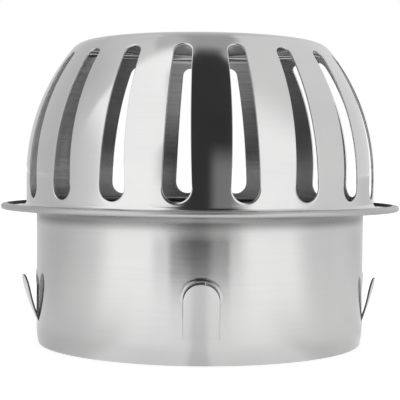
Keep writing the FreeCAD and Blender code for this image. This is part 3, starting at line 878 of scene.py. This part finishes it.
# The floor: its level as the camera sees it, and in reflections the gain and offset of its level near the
# object, what it lacks against the tent further out, and the distances over which one becomes the other.
FLOOR_SIZE = 30
FLOOR_SEEN = 0.58
FLOOR_NEAR_GAIN = 0.5
FLOOR_NEAR_OFFSET = -0.08
FLOOR_LOSS = 0.6
FLOOR_NEAR_END = (0.05, 0.22)

# The dark gap between the tent's sides. Heights are in metres; across is x divided by the distance, seen from
# the side, from a point GAP_EYE above the floor at the axis. The gap moves and narrows upwards, and ends
# above. Its left edge starts at GAP_LEFT low down and at GAP_LEFT_UP above. Its lowest part, which the sleeve
# mirrors, is a sum of steps: where each starts and ends across, and what it adds. Low on the right it is
# paler.
GAP_EYE = 0.07
GAP_NARROWS = (0.4, 0.9)
GAP_SHIFT = 0.035
GAP_NARROWING = 0.35
GAP_LEFT = -0.26
GAP_LEFT_CHANGE = (0.036, 0.046)
GAP_LEFT_HEIGHTS = (0.1, 0.16)
GAP_LEFT_UP = (-0.55, -0.4)
GAP_LEFT_END = -0.16
GAP_RIGHT = (0.3, 0.62)
GAP_LOW_CHANGE = (0.025, 0.032)
GAP_LOW_STEPS = (
    (-0.62, -0.45, 0.36),
    (-0.35, -0.27, 0.54),
    (-0.25, -0.05, 0.1),
    (0.3, 0.345, -0.58),
    (0.345, 0.66, -0.42),
)
GAP_TOP = (0.72, 1.35)
GAP_PALE = (0.06, 0.18)
GAP_PALE_HEIGHTS = (0.06, 0.14)
GAP_LEVELS = (0.045, 0.27)


def flat_card(name, width, height, place, face, material):
    """A flat rectangle whose face looks along a direction."""
    mesh = bpy.data.meshes.new(name)
    w, h = width / 2, height / 2
    mesh.from_pydata([(-w, -h, 0), (w, -h, 0), (w, h, 0), (-w, h, 0)], [], [(0, 1, 2, 3)])
    mesh.materials.append(material)
    card = bpy.data.objects.new(name, mesh)
    card.location = place
    card.rotation_euler = Vector(face).to_track_quat("Z", "Y").to_euler()
    bpy.context.scene.collection.objects.link(card)
    return card


def tent_level(graph, direction, right_turn=RIGHT_TURN):
    """The x and the climb of a direction, and how bright the tent is there.

    The tent is grey, with a bright side to the left and another to the right of the camera. On the right it
    darkens between two bearings, and behind on the left it brightens upwards.
    """
    x, y, z = graph.split(direction)
    front = graph.calc("MULTIPLY", y, -1.0)
    climb = graph.calc("ARCTAN2", z, front)
    bearing = graph.calc("ARCTAN2", x, front)
    left_back = graph.fade(z, *LEFT_BACK_RISE, *LEFT_BACK_LEVELS)
    rest = graph.turn(bearing, right_turn, *RIGHT_LEVELS)
    level = graph.between(graph.turn(bearing, LEFT_BACK_END), left_back, rest)
    for side in TENT_SIDES:
        share = graph.calc("MULTIPLY", graph.fade(x, *side.outer), graph.fade(x, *side.inner))
        share = graph.calc("MULTIPLY", share, graph.turn(climb, side.top, 1.0, 0.0))
        level = graph.calc("MULTIPLY_ADD", share, side.gain, level)
    return x, climb, level


def floor_strength(graph):
    """The floor's own light: one level for the camera, another for reflections and none for other rays.

    In reflections it is as bright as the tent beyond it, less a loss. Near the object it follows the tent at
    twice the bearing, which is where the sleeve's wall mirrors it.
    """
    place = graph.new("NewGeometry").outputs["Position"]
    outward = graph.vector("NORMALIZE", place)
    level = tent_level(graph, outward, FLOOR_RIGHT_TURN)[2]
    beyond = graph.calc("MAXIMUM", graph.calc("SUBTRACT", level, FLOOR_LOSS), 0.0)
    x, y, _ = graph.split(outward)
    doubled = graph.new("CombineXYZ")
    graph.feed(graph.calc("MULTIPLY", graph.calc("MULTIPLY", x, y), -2.0), doubled.inputs["X"])
    graph.feed(graph.calc("MULTIPLY_ADD", graph.calc("MULTIPLY", y, y), -2.0, 1.0), doubled.inputs["Y"])
    towards = graph.vector("MULTIPLY_ADD", doubled.outputs["Vector"], (2, 2, 2), outward)
    level = tent_level(graph, graph.vector("NORMALIZE", towards))[2]
    near = graph.calc("MULTIPLY_ADD", level, FLOOR_NEAR_GAIN, FLOOR_NEAR_OFFSET)
    distance = graph.vector("LENGTH", place)
    mirrored = graph.between(graph.fade(distance, *FLOOR_NEAR_END), near, beyond)
    path = graph.new("LightPath")
    direct = graph.calc("MAXIMUM", path.outputs["Is Camera Ray"], path.outputs["Is Transmission Ray"])
    seen = graph.calc("MULTIPLY", direct, FLOOR_SEEN)
    return graph.between(path.outputs["Is Glossy Ray"], seen, mirrored)


def make_floor():
    """A floor that is white to the camera, keeps the shadow and gives its own light to reflections."""
    material, graph, shader = new_material("pale_floor")
    shader.inputs["Base Color"].default_value = (0.6, 0.6, 0.6, 1)
    shader.inputs["Roughness"].default_value = 0.9
    shader.inputs["Specular IOR Level"].default_value = 0.0
    shader.inputs["Emission Color"].default_value = (1, 1, 1, 1)
    graph.links.new(floor_strength(graph), shader.inputs["Emission Strength"])
    flat_card("floor", FLOOR_SIZE, FLOOR_SIZE, (0, 0, 0), (0, 0, 1), material)


def make_world():
    """White to the camera and as a light; to reflections a tent, with a grey panel overhead."""
    world = bpy.data.worlds.new("studio")
    bpy.context.scene.world = world
    world.use_nodes = True
    graph = Graph(world.node_tree)
    x, climb, level = tent_level(graph, graph.new("TexCoord").outputs["Generated"])
    narrowed = graph.calc("MULTIPLY", x, graph.turn(climb, PANEL_NARROWS, *PANEL_NARROWING))
    left = graph.fade(narrowed, *PANEL_LEFT)
    right = graph.fade(narrowed, *PANEL_RIGHT, 1.0, 0.0)
    slanted = graph.calc("ADD", climb, graph.fade(x, *PANEL_SLANT, 0.0, PANEL_SLANT_ANGLE))
    panel = graph.calc("MULTIPLY", graph.calc("MULTIPLY", left, right), graph.turn(slanted, PANEL_START))
    across = graph.fade(x, *PANEL_ACROSS, *PANEL_ACROSS_LEVELS)
    panel_level = graph.between(graph.turn(climb, PANEL_BACK), across, PANEL_BACK_LEVEL)
    mirrored = graph.between(panel, level, panel_level)
    glossy = graph.new("LightPath").outputs["Is Glossy Ray"]
    background = graph.nodes["Background"]
    background.inputs["Color"].default_value = (1, 1, 1, 1)
    graph.links.new(graph.between(glossy, 1.0, mirrored), background.inputs["Strength"])


def soft_box(name, width, height, place, target, radiance):
    """A lamp that lights the floor and the metal, and that neither camera nor reflections show."""
    lamp = bpy.data.lights.new(name, "AREA")
    lamp.shape = "RECTANGLE"
    lamp.size = width
    lamp.size_y = height
    lamp.energy = radiance * pi * width * height
    light = bpy.data.objects.new(name, lamp)
    light.location = place
    light.rotation_euler = (Vector(target) - Vector(place)).to_track_quat("-Z", "Y").to_euler()
    light.visible_camera = False
    light.visible_glossy = False
    bpy.context.scene.collection.objects.link(light)


def dark_card(name, width, height, place, face, mask):
    """A dark panel that only reflections show; the mask says how solid it is and what light it gives."""
    material, graph, shader = new_material(name)
    graph.nodes.remove(shader)
    solid, shade = mask(graph, *graph.split(graph.new("NewGeometry").outputs["Position"]))
    glow = graph.new("Emission")
    graph.feed(shade, glow.inputs["Strength"])
    mix = graph.new("MixShader")
    graph.links.new(solid, mix.inputs["Fac"])
    graph.links.new(graph.new("BsdfTransparent").outputs["BSDF"], mix.inputs[1])
    graph.links.new(glow.outputs["Emission"], mix.inputs[2])
    graph.links.new(mix.outputs["Shader"], graph.nodes["Material Output"].inputs["Surface"])
    card = flat_card(name, width, height, place, face, material)
    card.visible_camera = False
    card.visible_shadow = False
    card.visible_diffuse = False


def front_mask(graph, x, y, z):
    """How solid the dark gap in front is at a point, and its level there."""
    height = graph.calc("SUBTRACT", z, GAP_EYE)
    squares = graph.calc("MULTIPLY_ADD", y, y, graph.calc("MULTIPLY", height, height))
    across = graph.calc("DIVIDE", x, graph.calc("SQRT", squares))
    moved = graph.calc("SUBTRACT", across, graph.fade(z, *GAP_NARROWS, 0.0, GAP_SHIFT))
    across = graph.calc("DIVIDE", moved, graph.fade(z, *GAP_NARROWS, 1.0, GAP_NARROWING))
    left_up = graph.fade(z, *GAP_LEFT_HEIGHTS, *GAP_LEFT_UP)
    left = graph.between(graph.fade(z, *GAP_LEFT_CHANGE), GAP_LEFT, left_up)
    right = graph.fade(across, *GAP_RIGHT, 1.0, 0.0)
    upper = graph.calc("MULTIPLY", graph.fade(across, left, GAP_LEFT_END), right)
    lower = 0.0
    for start, end, change in GAP_LOW_STEPS:
        lower = graph.calc("ADD", lower, graph.fade(across, start, end, 0.0, change))
    solid = graph.between(graph.fade(z, *GAP_LOW_CHANGE), lower, upper)
    solid = graph.calc("MULTIPLY", solid, graph.fade(z, *GAP_TOP, 1.0, 0.0))
    low = graph.fade(z, *GAP_PALE_HEIGHTS, 1.0, 0.0)
    pale = graph.calc("MULTIPLY", graph.fade(across, *GAP_PALE), low)
    return solid, graph.between(pale, *GAP_LEVELS)


AIM = (0, 0, 0)
LAMP_SIZE = 0.4
LAMP_RADIANCE = 0.4

make_floor()
make_world()
soft_box("left_box", LAMP_SIZE, LAMP_SIZE, (-0.42, -0.42, 0.45), AIM, LAMP_RADIANCE)
soft_box("right_box", LAMP_SIZE, LAMP_SIZE, (0.45, -0.40, 0.45), AIM, LAMP_RADIANCE)
dark_card("front_gap", 2.6, 2.2, (0, -0.26, 1.1), (0, 1, 0), front_mask)

# Camera

# Measured in the photo's pixels; UNIT is one of them at the object, in metres. The camera stands CAMERA_REACH
# of them in front of the drain's axis, and its eye is EYE_RISE above the seat.
UNIT = 0.303 * MM
PICTURE_WIDTH = 400
CAMERA_REACH = 1150
EYE_RISE = 42.5
TILT_RISE = 36
EYE_HEIGHT = SEAT * MM + EYE_RISE * UNIT
CAMERA_TILT = atan(TILT_RISE / CAMERA_REACH)
CAMERA_ROLL = radians(0.46)
SENSOR_WIDTH = 36

camera_data = bpy.data.cameras.new("camera")
camera_data.sensor_width = SENSOR_WIDTH
camera_data.lens = SENSOR_WIDTH * CAMERA_REACH / PICTURE_WIDTH
camera_data.clip_start = 0.01
camera = bpy.data.objects.new("camera", camera_data)
bpy.context.scene.collection.objects.link(camera)
camera.matrix_world = (Matrix.Translation((0, -CAMERA_REACH * UNIT, EYE_HEIGHT))
                       @ Euler((pi / 2 - CAMERA_TILT, 0, 0)).to_matrix().to_4x4()
                       @ Matrix.Rotation(CAMERA_ROLL, 4, "Z"))
bpy.context.scene.camera = camera
bpy.context.scene.view_settings.view_transform = "Standard"
